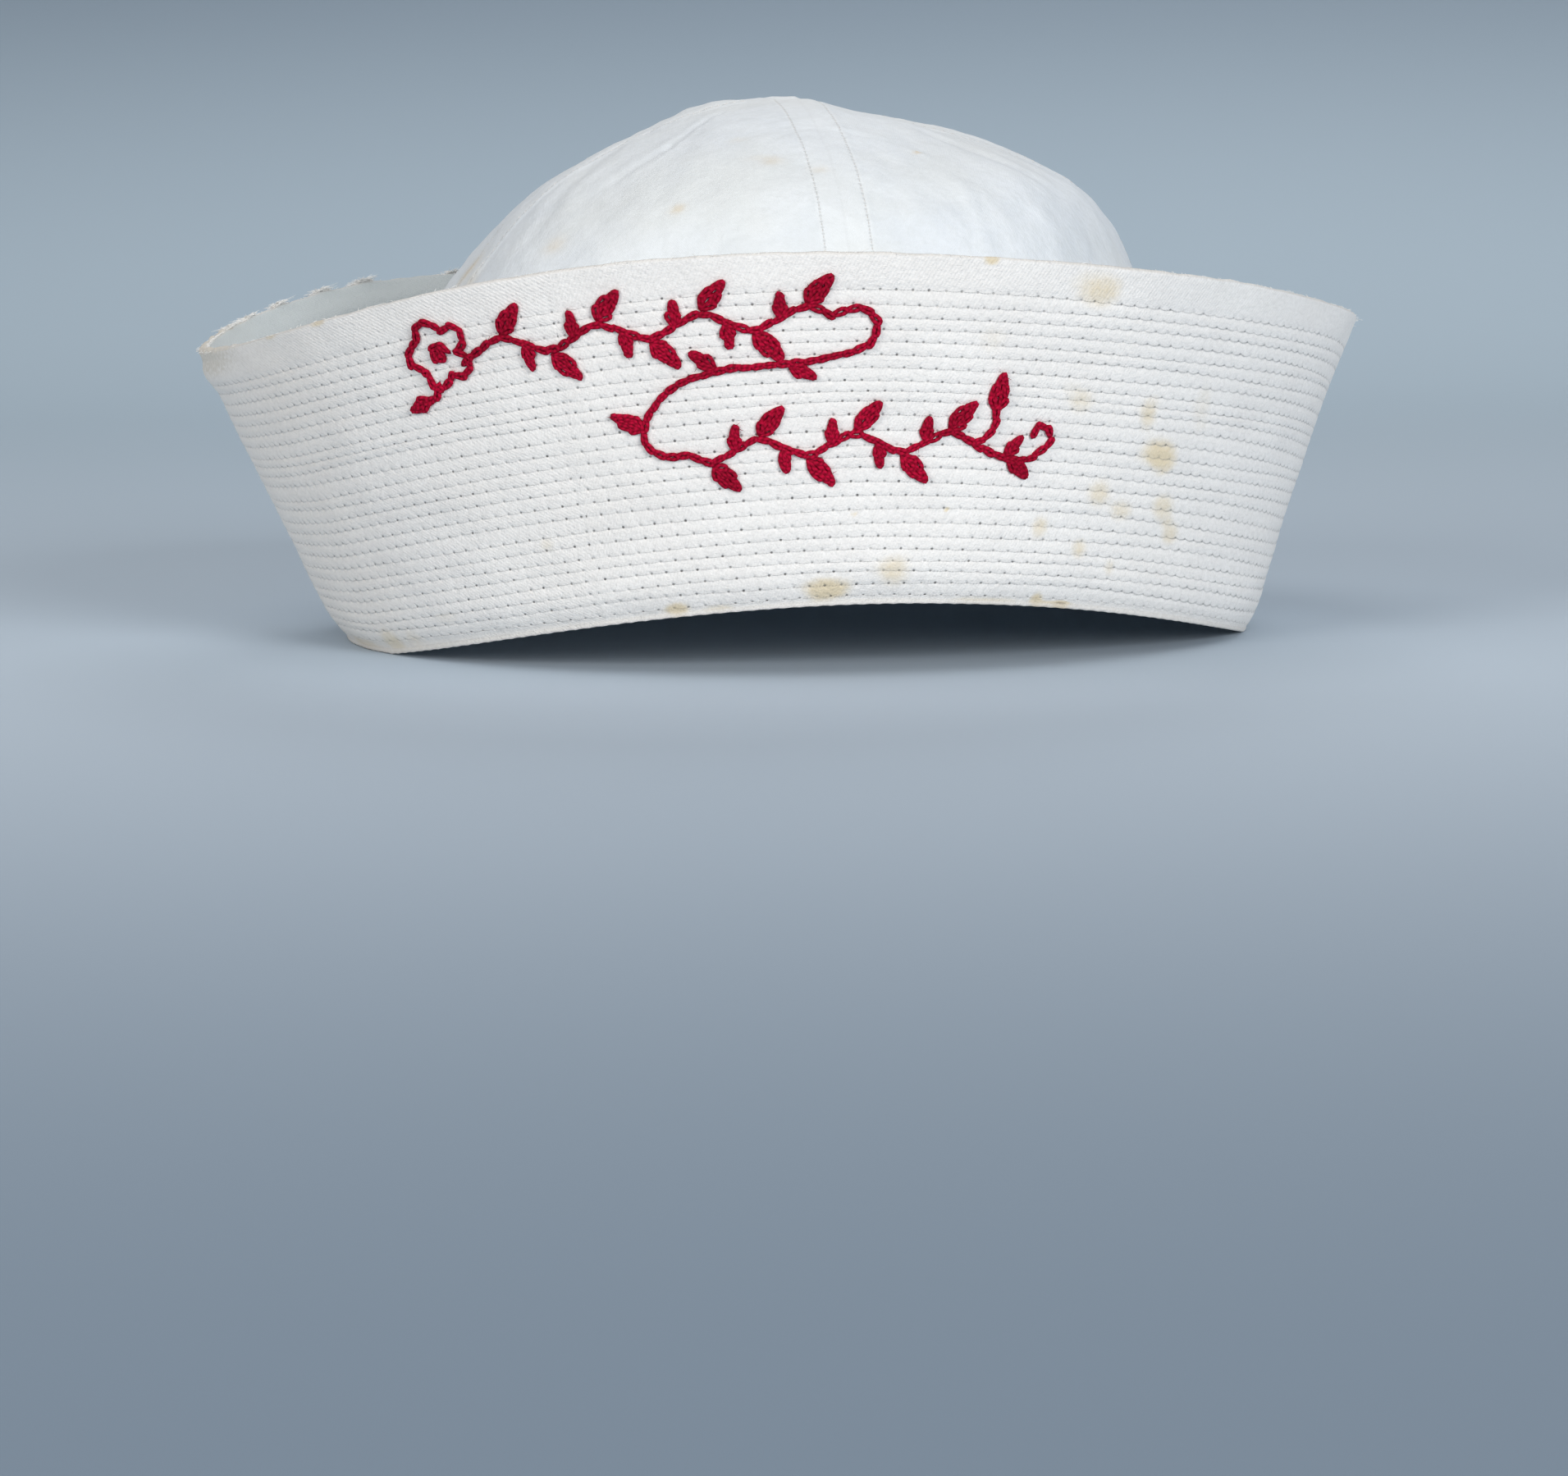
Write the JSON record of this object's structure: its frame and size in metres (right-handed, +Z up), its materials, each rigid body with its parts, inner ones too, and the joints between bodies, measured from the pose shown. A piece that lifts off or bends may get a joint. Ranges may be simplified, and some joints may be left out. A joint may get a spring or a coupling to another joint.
{
  "type": "sailor cap",
  "caption": "White cotton sailor cap: a stiff stitched brim turned up all round a soft crown sewn from gores, resting on a table, open below for the head.",
  "frame": {"origin": "on the table under the middle of the cap's bounding box", "axes": "+Z up out of the crown; -Y towards the front, the side that the picture shows; +X to the right as seen from the front"},
  "size_m": [0.2378, 0.238, 0.1106],
  "materials": {
    "stitched_twill": "matte white cotton twill, quilted in close rows",
    "crown_cotton": "matte, thin bluish-white cotton",
    "embroidery_thread": "soft crimson cotton thread in chain stitch",
    "sewing_thread": "matte white cotton thread"
  },
  "bodies": {
    "root": {"brim": "stitched_twill", "crown_gore_front_left": "crown_cotton", "crown_gore_front_right": "crown_cotton", "crown_gore_back_left": "crown_cotton", "crown_gore_back_right": "crown_cotton"}
  },
  "joints": []
}
